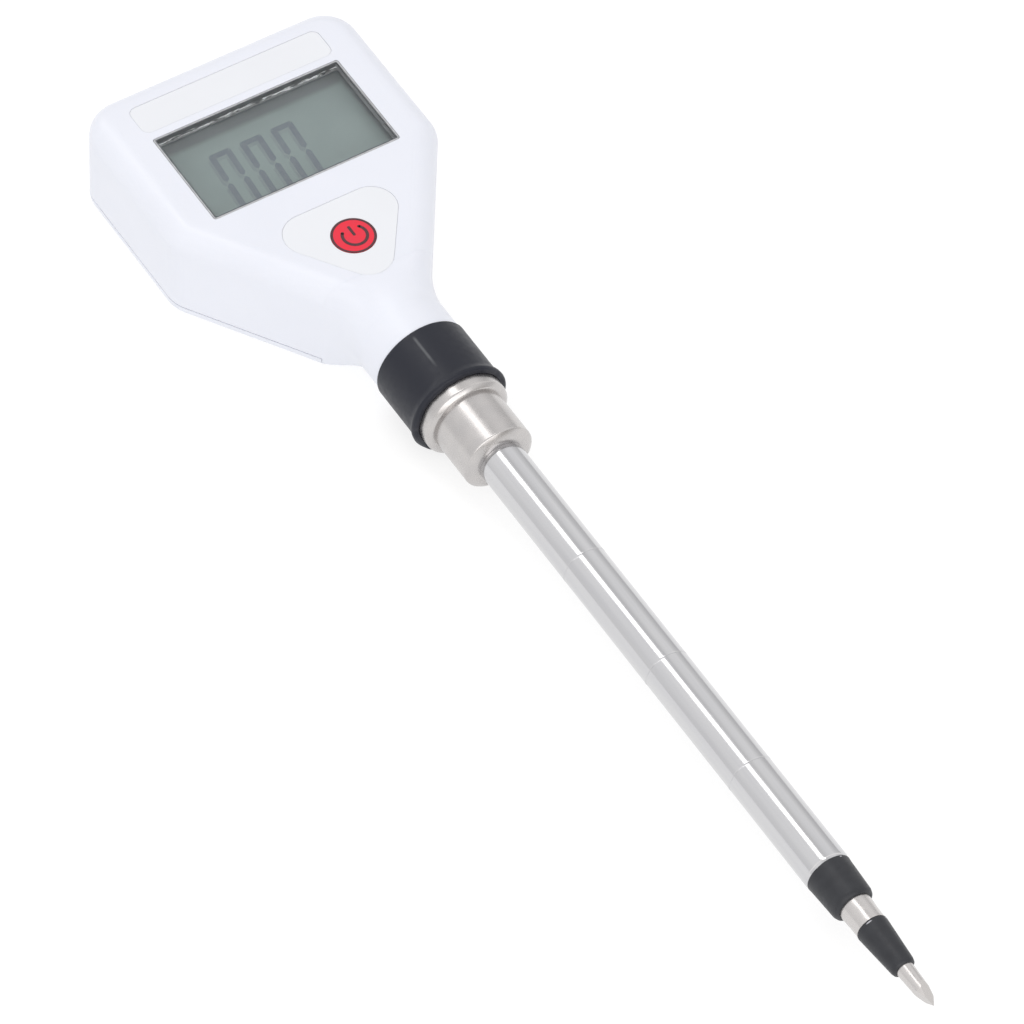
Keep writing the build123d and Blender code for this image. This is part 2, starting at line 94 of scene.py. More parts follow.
def blend_colours(tree, factor, first, second):
    """Mixes two colours, or a colour and a socket, by a 0-1 pattern."""
    mix = add_node(tree, "ShaderNodeMix", data_type="RGBA")
    tree.links.new(factor, mix.inputs["Factor"])
    for socket, colour in ((mix.inputs[6], first), (mix.inputs[7], second)):
        if isinstance(colour, tuple):
            socket.default_value = colour
        else:
            tree.links.new(colour, socket)
    return mix.outputs[2]


def relief(tree, shader, height, depth, strength=1.0):
    """Presses a pattern into the surface, depth metres deep."""
    bump = add_node(tree, "ShaderNodeBump")
    bump.inputs["Distance"].default_value = depth
    bump.inputs["Strength"].default_value = strength
    tree.links.new(height, bump.inputs["Height"])
    tree.links.new(bump.outputs["Normal"], shader.inputs["Normal"])


def dress(node, material):
    """Gives a CAD node its finished material."""
    for holder in nodes[node].material_slots:
        holder.material = material


white_abs, tree, shader = new_material("white_abs", ABS_WHITE, 0.34)
shader.inputs["Subsurface Weight"].default_value = 0.08
shader.inputs["Subsurface Radius"].default_value = (1.2 * mm, 1.1 * mm, 1.0 * mm)
shader.inputs["Subsurface Scale"].default_value = 1.0
colour = blend_colours(tree, spread(tree, grain(tree, 22 * mm), 0, 1), ABS_WHITE, ABS_SHADE)
tree.links.new(colour, shader.inputs["Base Color"])
tree.links.new(spread(tree, grain(tree, 9 * mm), 0.30, 0.40), shader.inputs["Roughness"])
relief(tree, shader, grain(tree, 0.35 * mm, detail=3), 0.012 * mm, 0.6)
for node in ("front_shell", "rear_cover", "battery_door", "battery_tray"):
    dress(node, white_abs)

# ---- housing screws and board screws ----
# Zinc-plated self-tapping screws: four hold the rear cover, four hold the circuit board.
# The plating is slightly mottled.
ZINC = (0.56, 0.56, 0.55, 1)
zinc_plate, tree, shader = new_material("zinc_plate", ZINC, 0.32, metallic=1.0)
mottle = spread(tree, grain(tree, 0.9 * mm), 0, 1)
tree.links.new(blend_colours(tree, mottle, ZINC, (0.44, 0.45, 0.46, 1)), shader.inputs["Base Color"])
tree.links.new(spread(tree, grain(tree, 0.5 * mm), 0.25, 0.45), shader.inputs["Roughness"])
for node in ("housing_screws", "board_screws"):
    dress(node, zinc_plate)

# ---- display glass and its frame ----
# The liquid crystal glass is a grey-green reflective panel deep in the head. A grey plastic
# frame holds it against a rubber connector; its shade on the glass's top and right edges is a painted darker
# band.
GLASS_GREEN = (0.33, 0.415, 0.408, 1)
GLASS_PAINTED_SHADE = (0.232, 0.268, 0.28, 1)
glass_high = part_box("lcd_glass")[1]
window_low, window_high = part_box("display_window")
glass_top = glass_high.z

lcd_green, tree, shader = new_material("lcd_green", GLASS_GREEN, 0.42)
shader.inputs["Specular IOR Level"].default_value = 0.3
place = add_node(tree, "ShaderNodeTexCoord")
split = add_node(tree, "ShaderNodeSeparateXYZ")
tree.links.new(place.outputs["Object"], split.inputs["Vector"])
# painted shadow: the glass darkens towards its top and right edges, where the frame shades it
top_shadow_band = spread(tree, split.outputs["Y"], 0, 1, glass_high.y - 5.6 * mm, glass_high.y - 4.2 * mm)
right_shadow_band = spread(tree, split.outputs["X"], 0, 1, glass_high.x - 3.2 * mm, glass_high.x - 2.1 * mm)
frame_shadow_band = add_node(tree, "ShaderNodeMath", operation="MAXIMUM")
tree.links.new(top_shadow_band, frame_shadow_band.inputs[0])
tree.links.new(right_shadow_band, frame_shadow_band.inputs[1])
cloud = spread(tree, grain(tree, 7 * mm), 0, 1)
clouded = blend_colours(tree, cloud, GLASS_GREEN, (0.308, 0.39, 0.386, 1))
shaded = blend_colours(tree, frame_shadow_band.outputs["Value"], clouded, GLASS_PAINTED_SHADE)
tree.links.new(shaded, shader.inputs["Base Color"])
relief(tree, shader, grain(tree, 0.2 * mm), 0.004 * mm, 0.3)
dress("lcd_glass", lcd_green)

film_silver, tree, shader = new_material("film_silver", (0.5, 0.53, 0.5, 1), 0.4, metallic=0.6)
tree.links.new(spread(tree, grain(tree, 0.6 * mm), 0.35, 0.5), shader.inputs["Roughness"])
relief(tree, shader, grain(tree, 0.3 * mm), 0.01 * mm)
dress("lcd_reflector", film_silver)

FRAME_GREY = (0.50, 0.515, 0.535, 1)
frame_grey, tree, shader = new_material("frame_grey", FRAME_GREY, 0.3)
# pale streaks, long and thin, run level along the frame
pale_streaks = spread(tree, grain(tree, 2.5 * mm, stretch=(1, 1, 0.3)), 0, 1)
tree.links.new(blend_colours(tree, pale_streaks, FRAME_GREY, (0.68, 0.69, 0.705, 1)), shader.inputs["Base Color"])
relief(tree, shader, grain(tree, 0.25 * mm), 0.01 * mm)
dress("lcd_frame", frame_grey)

rubber_grey, tree, shader = new_material("rubber_grey", (0.2, 0.2, 0.21, 1), 0.6)
layers = spread(tree, grain(tree, 0.2 * mm, stretch=(0.3, 9, 9)), 0, 1)
layered = blend_colours(tree, layers, (0.03, 0.03, 0.03, 1), (0.35, 0.35, 0.36, 1))
tree.links.new(layered, shader.inputs["Base Color"])
dress("zebra_connector", rubber_grey)

# ---- display digits ----
# Three slanted seven-segment zeros lie in the liquid crystal. Each dark segment's shadow on the
# reflector behind it is painted as a fainter copy on the glass, down and to the left.
DIGIT_HEIGHT = 16.5 * mm
DIGIT_WIDTH = 5.2 * mm
DIGIT_PITCH = 7.4 * mm
DIGIT_SLANT = 0.07
STROKE = 1.35 * mm
SEGMENT_GAP = 0.2 * mm
first_digit_x = -12.95 * mm
digit_top = 113.2 * mm


def box_prism(mesh, outline, bottom, thickness):
    """Adds a closed prism over a plan outline to a bmesh."""
    corners = [mesh.verts.new((x, y, bottom)) for x, y in outline]
    face = mesh.faces.new(corners)
    raised = bmesh.ops.extrude_face_region(mesh, geom=[face])["geom"]
    lifted = [v for v in raised if isinstance(v, bmesh.types.BMVert)]
    bmesh.ops.translate(mesh, verts=lifted, vec=(0, 0, thickness))


def zero_segments():
    """Plan outlines of the six lit segments of a zero, from its top left corner."""
    w, h, s, g = DIGIT_WIDTH, DIGIT_HEIGHT, STROKE, SEGMENT_GAP
    cut = s * 0.55
    top = [(g, 0), (w - g, 0), (w - g - cut, -s), (g + cut, -s)]
    upper = [(0, -g), (s, -g - s), (s, -h / 2 + g + cut), (s / 2, -h / 2 + g), (0, -h / 2 + g + cut)]
    half = [top, upper, [(w - x, y) for x, y in upper]]
    return half + [[(x, -h - y) for x, y in outline] for outline in half]


def zeros(name, level, thickness, shift, grow):
    """The three zeros as thin prisms at a level, shifted in plan."""
    mesh = bmesh.new()
    for count in range(3):
        for outline in zero_segments():
            middle = Vector((sum(x for x, y in outline), sum(y for x, y in outline))) / len(outline)
            points = []
            for x, y in outline:
                point = middle + (Vector((x, y)) - middle) * grow
                points.append(
                    (
                        first_digit_x + count * DIGIT_PITCH + point.x + DIGIT_SLANT * point.y + shift[0],
                        digit_top + point.y + shift[1],
                    )
                )
            box_prism(mesh, points, level, thickness)
    return finish_mesh(mesh, name)


def finish_mesh(mesh, name, material=None, smooth=None):
    """Closes a bmesh into an object with outward faces, smooth below an angle in degrees."""
    bmesh.ops.remove_doubles(mesh, verts=mesh.verts, dist=1e-7)
    bmesh.ops.recalc_face_normals(mesh, faces=mesh.faces)
    data = bpy.data.meshes.new(name)
    mesh.to_mesh(data)
    mesh.free()
    piece = bpy.data.objects.new(name, data)
    bpy.context.scene.collection.objects.link(piece)
    if smooth:
        data.shade_smooth()
        data.set_sharp_from_angle(angle=math.radians(smooth))
    if material:
        data.materials.append(material)
    return piece


DIGIT_SHADOW = (0.246, 0.305, 0.325, 1)
DIGIT_INK = (0.178, 0.224, 0.262, 1)
digit_shadow, tree, shader = new_material("digit_shadow", DIGIT_SHADOW, 0.45)
soft = spread(tree, grain(tree, 3 * mm), 0, 1)
tree.links.new(blend_colours(tree, soft, DIGIT_SHADOW, (0.284, 0.35, 0.36, 1)), shader.inputs["Base Color"])
digit_ink, tree, shader = new_material("digit_ink", DIGIT_INK, 0.45)
soft = spread(tree, grain(tree, 2.2 * mm), 0, 1)
tree.links.new(blend_colours(tree, soft, DIGIT_INK, (0.212, 0.262, 0.292, 1)), shader.inputs["Base Color"])

# painted shadows: paler copies of the digits laid on the glass, shifted down and to the left
shadows = zeros("digit_shadows", glass_top, 0.01 * mm, (-0.75 * mm, -0.95 * mm), 1.0)
shadows.data.materials.append(digit_shadow)
digits = zeros("display_digits", glass_top, 0.02 * mm, (0, 0), 1.0)
digits.data.materials.append(digit_ink)
for piece in (shadows, digits):
    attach(piece, "handset")

# ---- display window ----
# A clear acrylic plate, glued in from behind. It fills the opening in the face; its rim has a
# pale adhesive line and a dark painted edge, and glue has run in streaks along the top.
clear_acrylic, tree, shader = new_material("clear_acrylic", (0.985, 0.99, 0.99, 1), 0.02)
shader.inputs["Transmission Weight"].default_value = 1.0
shader.inputs["IOR"].default_value = 1.45
relief(tree, shader, grain(tree, 12 * mm), 0.01 * mm, 0.2)
dress("display_window", clear_acrylic)

WINDOW_FLANGE = 2.0 * mm
RIM_CORNER = 0.6 * mm
window_middle = (window_low + window_high) / 2
rim_half = Vector((window_high.x - WINDOW_FLANGE, (window_high.y - window_low.y) / 2 - WINDOW_FLANGE))


def rim(name, outer, inner, bottom, top, material):
    """A rectangular ring round the window, from one inset to another."""
    mesh = bmesh.new()
    bmesh.ops.create_grid(mesh, x_segments=1, y_segments=1, size=1)
    bmesh.ops.scale(mesh, verts=mesh.verts, vec=(rim_half.x - outer, rim_half.y - outer, 1))
    bmesh.ops.translate(mesh, verts=mesh.verts, vec=(window_middle.x, window_middle.y, bottom))
    bmesh.ops.bevel(mesh, geom=mesh.verts[:], affect="VERTICES", offset=RIM_CORNER, segments=5,
                    profile=0.5, material=-1)
    band = bmesh.ops.inset_individual(mesh, faces=mesh.faces[:], thickness=inner - outer,
                                      use_even_offset=True)["faces"]
    bmesh.ops.delete(mesh, geom=[face for face in mesh.faces if face not in band], context="FACES_ONLY")
    raised = bmesh.ops.extrude_face_region(mesh, geom=mesh.faces[:], use_keep_orig=True)["geom"]
    lifted = [v for v in raised if isinstance(v, bmesh.types.BMVert)]
    bmesh.ops.translate(mesh, verts=lifted, vec=(0, 0, top - bottom))
    piece = finish_mesh(mesh, name, material)
    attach(piece, "handset")
    return piece


ADHESIVE = (0.50, 0.51, 0.525, 1)
adhesive, tree, shader = new_material("rim_adhesive", ADHESIVE, 0.35)
uneven = spread(tree, grain(tree, 1.3 * mm), 0, 1)
tree.links.new(blend_colours(tree, uneven, ADHESIVE, (0.33, 0.34, 0.355, 1)), shader.inputs["Base Color"])
EDGE_PAINT = (0.062, 0.067, 0.077, 1)
edge_paint, tree, shader = new_material("edge_paint", EDGE_PAINT, 0.4)
uneven = spread(tree, grain(tree, 2 * mm), 0, 1)
painted = blend_colours(tree, uneven, EDGE_PAINT, (0.105, 0.113, 0.123, 1))
place = add_node(tree, "ShaderNodeTexCoord")
split = add_node(tree, "ShaderNodeSeparateXYZ")
tree.links.new(place.outputs["Object"], split.inputs["Vector"])
# the lower part of the painted edge's right-hand wall is a lighter grey
lighter_right_wall = add_node(tree, "ShaderNodeMath", operation="MULTIPLY")
tree.links.new(spread(tree, split.outputs["X"], 0, 1, rim_half.x - 0.8 * mm, rim_half.x - 0.7 * mm),
               lighter_right_wall.inputs[0])
tree.links.new(spread(tree, split.outputs["Z"], 1, 0, window_high.z - 0.8 * mm, window_high.z - 0.5 * mm),
               lighter_right_wall.inputs[1])
tree.links.new(blend_colours(tree, lighter_right_wall.outputs["Value"], painted, (0.36, 0.37, 0.39, 1)),
               shader.inputs["Base Color"])
rim("window_adhesive_line", 0.1 * mm, 0.42 * mm, window_high.z - 0.12 * mm, window_high.z + 0.012 * mm,
    adhesive)
rim("window_painted_edge", 0.42 * mm, 0.64 * mm, window_low.z + 0.85 * mm, window_high.z + 0.008 * mm,
    edge_paint)

GLUE_PALE_AND_GLOW = (0.95, 0.97, 0.98, 1)
glue, tree, shader = new_material("window_glue", GLUE_PALE_AND_GLOW, 0.5)
glue_streaks_and_glow = spread(tree, grain(tree, 0.9 * mm, stretch=(3.0, 1, 0.4), detail=4), 0, 1, 0.47, 0.58)
tree.links.new(blend_colours(tree, glue_streaks_and_glow, (0.2, 0.215, 0.225, 1), GLUE_PALE_AND_GLOW), shader.inputs["Base Color"])
# painted light: the pale glue streaks also glow faintly, so the glue stays bright in the shaded well
shader.inputs["Emission Color"].default_value = GLUE_PALE_AND_GLOW
tree.links.new(spread(tree, glue_streaks_and_glow, 0.0, 0.42, 0, 1), shader.inputs["Emission Strength"])
relief(tree, shader, grain(tree, 0.5 * mm, stretch=(3, 1, 0.5)), 0.08 * mm)
glue_mesh = bmesh.new()
bmesh.ops.create_grid(glue_mesh, x_segments=220, y_segments=6, size=1)
glue_wall = window_middle.y + rim_half.y + 0.42 * mm
for vertex in glue_mesh.verts:
    # a bead on the frame's top wall: it swells, thins out and runs onto the glass in places
    along, across = vertex.co.x, vertex.co.y
    swell = noise.noise(Vector((along * 9, 2.0, 0))) + 0.5 * noise.noise(Vector((along * 31, 7.0, 0)))
    drop = (0.5 - across / 2) * (1.3 + 1.0 * max(0.0, swell)) * mm
    belly = max(0.0, 1 - across * across) * (0.2 + 0.5 * max(0.0, swell)) * mm
    vertex.co = ((rim_half.x + 0.3 * mm) * along, glue_wall - belly,
                 max(glass_top + 0.04 * mm, window_low.z - 0.35 * mm - drop))
raised = bmesh.ops.extrude_face_region(glue_mesh, geom=glue_mesh.faces[:], use_keep_orig=True)["geom"]
bmesh.ops.translate(glue_mesh, verts=[v for v in raised if isinstance(v, bmesh.types.BMVert)],
                    vec=(0, 0.05 * mm, 0))
glue_bead = finish_mesh(glue_mesh, "window_glue_bead", glue, smooth=60)
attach(glue_bead, "handset")

# ---- power key ----
# A flat red key under a clear skin. The dark rim and the power mark are printed on it.
key_low, key_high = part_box("power_button")
key_centre = Vector((0, (key_low.y + key_high.y) / 2))
KEY_RED = (0.76, 0.024, 0.046, 1)
PRINT_BROWN = (0.055, 0.018, 0.022, 1)
RING_OUTER, RING_INNER = 4.685 * mm, 4.2 * mm
MARK_RADIUS, MARK_STROKE, MARK_GAP = 2.58 * mm, 0.68 * mm, 49
PRINT_THICKNESS = 0.02 * mm

key_red, tree, shader = new_material("key_red", KEY_RED, 0.3)
mottle = spread(tree, grain(tree, 1.6 * mm), 0, 1)
tree.links.new(blend_colours(tree, mottle, KEY_RED, (0.69, 0.033, 0.062, 1)), shader.inputs["Base Color"])
shader.inputs["Specular IOR Level"].default_value = 0.3
relief(tree, shader, grain(tree, 0.3 * mm), 0.006 * mm)
dress("power_button", key_red)

print_brown, tree, shader = new_material("print_brown", PRINT_BROWN, 0.4)
mottle = spread(tree, grain(tree, 0.8 * mm), 0, 1)
tree.links.new(blend_colours(tree, mottle, PRINT_BROWN, (0.085, 0.02, 0.028, 1)), shader.inputs["Base Color"])


def arc_band(mesh, centre, inner, outer, start, end, steps):
    """A flat ring or part of one, as faces spun round the centre from start to end degrees."""
    across = Vector((math.cos(math.radians(start)), math.sin(math.radians(start)), 0))
    level = Vector((centre.x, centre.y, key_high.z))
    ends = [mesh.verts.new(level + across * radius) for radius in (inner, outer)]
    edge = mesh.edges.new(ends)
    whole = abs(end - start - 360) < 1e-6
    bmesh.ops.spin(mesh, geom=[*ends, edge], cent=level, axis=(0, 0, 1),
                   angle=math.radians(end - start), steps=steps, use_merge=whole, use_duplicate=False)


def printed(name, mesh, thickness):
    """Thickens flat print faces upwards into a closed film."""
    bmesh.ops.remove_doubles(mesh, verts=mesh.verts, dist=1e-7)
    raised = bmesh.ops.extrude_face_region(mesh, geom=mesh.faces[:], use_keep_orig=True)["geom"]
    lifted = [v for v in raised if isinstance(v, bmesh.types.BMVert)]
    bmesh.ops.translate(mesh, verts=lifted, vec=(0, 0, thickness))
    return finish_mesh(mesh, name, print_brown)


ring_mesh = bmesh.new()
arc_band(ring_mesh, key_centre, RING_INNER, RING_OUTER, 0, 360, 96)
key_rim = printed("key_rim_print", ring_mesh, PRINT_THICKNESS)

mark = bmesh.new()
mark_centre = key_centre + Vector((0.27 * mm, -0.05 * mm))
arc_band(mark, mark_centre, MARK_RADIUS - MARK_STROKE / 2, MARK_RADIUS + MARK_STROKE / 2,
         90 + MARK_GAP, 450 - MARK_GAP, 48)
for side in (-1, 1):
    # rounded ends of the arc
    angle = math.radians(90 + side * MARK_GAP)
    end = mark_centre + MARK_RADIUS * Vector((math.cos(angle), math.sin(angle)))
    bmesh.ops.create_circle(mark, cap_ends=True, radius=MARK_STROKE / 2, segments=20,
                            matrix=Matrix.Translation((end.x, end.y, key_high.z)))
key_mark = printed("key_mark_print", mark, PRINT_THICKNESS)

bar = bmesh.new()
BAR_TOP, BAR_BOTTOM, BAR_HALF = 2.75 * mm, -0.05 * mm, 0.32 * mm
bmesh.ops.create_grid(bar, x_segments=1, y_segments=1, size=0.5)
bmesh.ops.scale(bar, verts=bar.verts, vec=(2 * BAR_HALF, BAR_TOP - BAR_BOTTOM, 1))
bmesh.ops.translate(bar, verts=bar.verts,
                    vec=(mark_centre.x, mark_centre.y + (BAR_TOP + BAR_BOTTOM) / 2, key_high.z))
bmesh.ops.bevel(bar, geom=bar.verts[:], affect="VERTICES", offset=BAR_HALF * 0.8, segments=4,
                profile=0.5, material=-1)
key_bar = printed("key_bar_print", bar, PRINT_THICKNESS)
for piece in (key_rim, key_mark, key_bar):
    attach(piece, "power_key")

# ---- films on the face ----
# A triangular overlay round the key and a blank label strip over the display: thin white
# polycarbonate films, smoother and a touch greyer than the face, glued into shallow recesses.
FILM_WHITE = (0.735, 0.752, 0.785, 1)
film_white, tree, shader = new_material("film_white", FILM_WHITE, 0.28)
cloud = spread(tree, grain(tree, 14 * mm), 0, 1)
tree.links.new(blend_colours(tree, cloud, FILM_WHITE, (0.722, 0.738, 0.772, 1)), shader.inputs["Base Color"])
relief(tree, shader, grain(tree, 5 * mm), 0.02 * mm, 0.4)
for node in ("key_overlay", "blank_label"):
    dress(node, film_white)

# ---- circuit board, switch and battery bay ----
# Inside the head: a green glass-fibre board with its chips, the key's switch, two cells in
# plain jackets with plated ends, and the contacts that join them.
BOARD_GREEN = (0.02, 0.12, 0.05, 1)
board_green, tree, shader = new_material("board_green", BOARD_GREEN, 0.3)
weave = spread(tree, grain(tree, 0.5 * mm, stretch=(1, 4, 1)), 0, 1)
tree.links.new(blend_colours(tree, weave, BOARD_GREEN, (0.03, 0.17, 0.07, 1)), shader.inputs["Base Color"])
dress("main_board", board_green)

epoxy_black, tree, shader = new_material("epoxy_black", (0.015, 0.015, 0.017, 1), 0.5)
tree.links.new(spread(tree, grain(tree, 0.4 * mm), 0.4, 0.6), shader.inputs["Roughness"])
relief(tree, shader, grain(tree, 0.15 * mm), 0.01 * mm)
for node in ("microcontroller", "board_components", "tact_switch", "switch_plunger"):
    dress(node, epoxy_black)

CONTACT = (0.66, 0.62, 0.52, 1)
contact_plate, tree, shader = new_material("contact_plate", CONTACT, 0.3, metallic=1.0)
tree.links.new(blend_colours(tree, spread(tree, grain(tree, 1.5 * mm), 0, 1), CONTACT, (0.5, 0.48, 0.42, 1)),
               shader.inputs["Base Color"])
for node in ("positive_contacts", "negative_contacts"):
    dress(node, contact_plate)

# The cells lie head to tail, so the jacket's bands follow y times the side each cell is on.
JACKET_BLUE = (0.02, 0.045, 0.16, 1)
JACKET_SILVER = (0.55, 0.56, 0.57, 1)
cell_low, cell_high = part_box("battery_cells")
cell_jacket, tree, shader = new_material("cell_jacket", JACKET_BLUE, 0.25)
place = add_node(tree, "ShaderNodeTexCoord")
split = add_node(tree, "ShaderNodeSeparateXYZ")
tree.links.new(place.outputs["Object"], split.inputs["Vector"])
along = add_node(tree, "ShaderNodeMath", operation="SUBTRACT")
along.inputs[1].default_value = (cell_low.y + cell_high.y) / 2
tree.links.new(split.outputs["Y"], along.inputs[0])
side = add_node(tree, "ShaderNodeMath", operation="SIGN")
tree.links.new(split.outputs["X"], side.inputs[0])
toward_minus = add_node(tree, "ShaderNodeMath", operation="MULTIPLY")
tree.links.new(along.outputs["Value"], toward_minus.inputs[0])
tree.links.new(side.outputs["Value"], toward_minus.inputs[1])
cell_half = (cell_high.y - cell_low.y) / 2
silver_end = spread(tree, toward_minus.outputs["Value"], 0, 1, cell_half * 0.42, cell_half * 0.44)
tree.links.new(blend_colours(tree, silver_end, JACKET_BLUE, JACKET_SILVER), shader.inputs["Base Color"])
tree.links.new(silver_end, shader.inputs["Metallic"])
dress("battery_cells", cell_jacket)

# ---- leads ----
# Three insulated wires run from the electrodes and the fitting up to pads under the board.
for node, colour in (
    ("tip_lead", (0.5, 0.02, 0.02, 1)),
    ("ring_lead", (0.7, 0.7, 0.7, 1)),
    ("ground_lead", (0.02, 0.02, 0.02, 1)),
):
    insulation, tree, shader = new_material(node + "_insulation", colour, 0.4)
    tree.links.new(spread(tree, grain(tree, 1 * mm), 0.35, 0.5), shader.inputs["Roughness"])
    dress(node, insulation)

core_nylon, tree, shader = new_material("core_nylon", (0.7, 0.69, 0.62, 1), 0.45)
tree.links.new(spread(tree, grain(tree, 1 * mm), 0.4, 0.55), shader.inputs["Roughness"])
dress("core_insulator", core_nylon)

# ---- collar ----
# A black plastic sleeve pushed over the neck. Its lip is flared and roughly trimmed where it
# meets the steel flange. A thin pale line along its upper side is a painted highlight.
tube_low, tube_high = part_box("probe_tube")
axis_height = (tube_low.z + tube_high.z) / 2
collar_low, collar_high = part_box("collar")
collar_radius = 10.6 * mm
collar_bore = 10.27 * mm
lip_radius = collar_high.x
fitting_low, fitting_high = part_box("probe_fitting")
lip_bore = fitting_high.x + 0.03 * mm
neck_end = fitting_high.y - 18.0 * mm


def turned(name, outline, material, edge=0.0, steps=128, smooth=35):
    """Spins a closed outline of (y, radius) points round the probe axis, edges rounded by edge."""
    mesh = bmesh.new()
    corners = [mesh.verts.new((radius, y, axis_height)) for y, radius in outline]
    for first, second in zip(corners, corners[1:] + corners[:1]):
        mesh.edges.new((first, second))
    bmesh.ops.spin(mesh, geom=mesh.verts[:] + mesh.edges[:], cent=(0, 0, axis_height), axis=(0, 1, 0),
                   angle=math.tau, steps=steps, use_merge=True, use_duplicate=False)
    bmesh.ops.remove_doubles(mesh, verts=mesh.verts, dist=1e-7)
    bmesh.ops.recalc_face_normals(mesh, faces=mesh.faces)
    if edge:
        hard = [e for e in mesh.edges if e.is_convex and e.calc_face_angle(0) > math.radians(smooth)]
        bmesh.ops.bevel(mesh, geom=hard, affect="EDGES", offset=edge, segments=3, profile=0.5,
                        material=-1, clamp_overlap=True)
    piece = finish_mesh(mesh, name, material, smooth=smooth)
    shading = piece.modifiers.new("even_shading", "WEIGHTED_NORMAL")
    shading.keep_sharp = True
    return piece


COLLAR_BLACK = (0.0045, 0.0063, 0.0148, 1)
collar_black, tree, shader = new_material("collar_black", COLLAR_BLACK, 0.45)
shader.inputs["Specular IOR Level"].default_value = 0.42
place = add_node(tree, "ShaderNodeTexCoord")
shift = add_node(tree, "ShaderNodeMapping")
shift.inputs["Location"].default_value = (0, 0, -axis_height)
split = add_node(tree, "ShaderNodeSeparateXYZ")
tree.links.new(place.outputs["Object"], shift.inputs["Vector"])
tree.links.new(shift.outputs["Vector"], split.inputs["Vector"])
round_angle = add_node(tree, "ShaderNodeMath", operation="ARCTAN2")
tree.links.new(split.outputs["X"], round_angle.inputs[0])
tree.links.new(split.outputs["Z"], round_angle.inputs[1])
# painted highlight: a thin pale line along the upper side at this turn from the top, faded near both ends
HIGHLIGHT_ANGLE = math.radians(-16.0)
off_highlight = add_node(tree, "ShaderNodeMath", operation="SUBTRACT")
off_highlight.inputs[1].default_value = HIGHLIGHT_ANGLE
tree.links.new(round_angle.outputs["Value"], off_highlight.inputs[0])
away = add_node(tree, "ShaderNodeMath", operation="ABSOLUTE")
tree.links.new(off_highlight.outputs["Value"], away.inputs[0])
painted_highlight = spread(tree, away.outputs["Value"], 1, 0, 0.006, 0.04)
fade = 3.0 * mm
for low, high, ends in ((collar_low.y + 5.2 * mm, collar_low.y + 5.2 * mm + fade, (0, 1)),
                        (collar_high.y - 2.0 * mm, collar_high.y - 1.0 * mm, (1, 0))):
    faded = add_node(tree, "ShaderNodeMath", operation="MULTIPLY")
    tree.links.new(painted_highlight, faded.inputs[0])
    tree.links.new(spread(tree, split.outputs["Y"], *ends, low, high), faded.inputs[1])
    painted_highlight = faded.outputs["Value"]
chips = spread(tree, grain(tree, 0.35 * mm, stretch=(2, 1, 2)), 0, 1, 0.54, 0.62)
chipped_edge = add_node(tree, "ShaderNodeMath", operation="MULTIPLY")
tree.links.new(chips, chipped_edge.inputs[0])
tree.links.new(spread(tree, split.outputs["Y"], 0, 1, collar_high.y - 0.5 * mm, collar_high.y - 0.2 * mm),
               chipped_edge.inputs[1])
# the painted highlight and the pale chips at the neck end share one paler colour
highlight_and_chips = add_node(tree, "ShaderNodeMath", operation="MAXIMUM")
tree.links.new(painted_highlight, highlight_and_chips.inputs[0])
tree.links.new(chipped_edge.outputs["Value"], highlight_and_chips.inputs[1])
tree.links.new(blend_colours(tree, highlight_and_chips.outputs["Value"], COLLAR_BLACK, (0.075, 0.08, 0.088, 1)),
               shader.inputs["Base Color"])
tree.links.new(spread(tree, grain(tree, 1.4 * mm), 0.40, 0.50), shader.inputs["Roughness"])
relief(tree, shader, grain(tree, 0.3 * mm), 0.008 * mm, 0.7)

lip = collar_low.y
collar = turned(
    "collar_sleeve",
    [
        (collar_high.y, collar_bore),
        (collar_high.y, collar_radius - 0.15 * mm),
        (collar_high.y - 0.3 * mm, collar_radius),
        (lip + 6.0 * mm, collar_radius),
        (lip + 3.0 * mm, collar_radius),
        (lip + 2.2 * mm, collar_radius + 0.08 * mm),
        (lip + 1.4 * mm, lip_radius - 0.08 * mm),
        (lip + 0.8 * mm, lip_radius),
        (lip + 0.25 * mm, lip_radius - 0.2 * mm),
        (lip, lip_radius - 0.55 * mm),
        (lip, lip_bore + 0.12 * mm),
        (lip + 0.12 * mm, lip_bore),
        (neck_end - 0.08 * mm, lip_bore),
        (neck_end - 0.02 * mm, collar_bore),
    ],
    collar_black,
    edge=0.06 * mm,
)
for vertex in collar.data.vertices:
    # the trimmed lip wanders a little round the flange
    reach = max(0.0, 1 - (vertex.co.y - lip) / (1.8 * mm))
    if reach:
        turn = math.atan2(vertex.co.x, vertex.co.z - axis_height)
        wander = noise.noise(Vector((math.cos(turn) * 2.1, math.sin(turn) * 2.1, 4.0)))
        ripple = noise.noise(Vector((math.cos(turn) * 7.0, math.sin(turn) * 7.0, 9.0)))
        vertex.co.y += reach * (0.42 + 0.3 * wander + 0.12 * ripple) * mm
        pull = 1 - reach * (0.004 + 0.012 * wander) * (math.hypot(vertex.co.x, vertex.co.z - axis_height)
                                                      > collar_bore)
        vertex.co.x *= pull
        vertex.co.z = axis_height + (vertex.co.z - axis_height) * pull
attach(collar, "handset")
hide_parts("collar")

# ---- probe fitting ----
# Stainless steel, turned in one setting: a flange that closes the neck, a barrel with a wide
# chamfer, and a spigot inside the neck. Fine tool marks run round it.
FITTING_STEEL = (0.565, 0.545, 0.535, 1)
turned_steel, tree, shader = new_material("turned_steel", FITTING_STEEL, 0.2, metallic=1.0)
tool_marks = grain(tree, 0.12 * mm, stretch=(60, 1, 60), detail=3)
patchy = spread(tree, grain(tree, 4 * mm), 0, 1)
tinted = blend_colours(tree, patchy, FITTING_STEEL, (0.52, 0.505, 0.50, 1))
tree.links.new(tinted, shader.inputs["Base Color"])
tree.links.new(spread(tree, grain(tree, 1.2 * mm), 0.24, 0.30), shader.inputs["Roughness"])
relief(tree, shader, tool_marks, 0.004 * mm, 0.6)

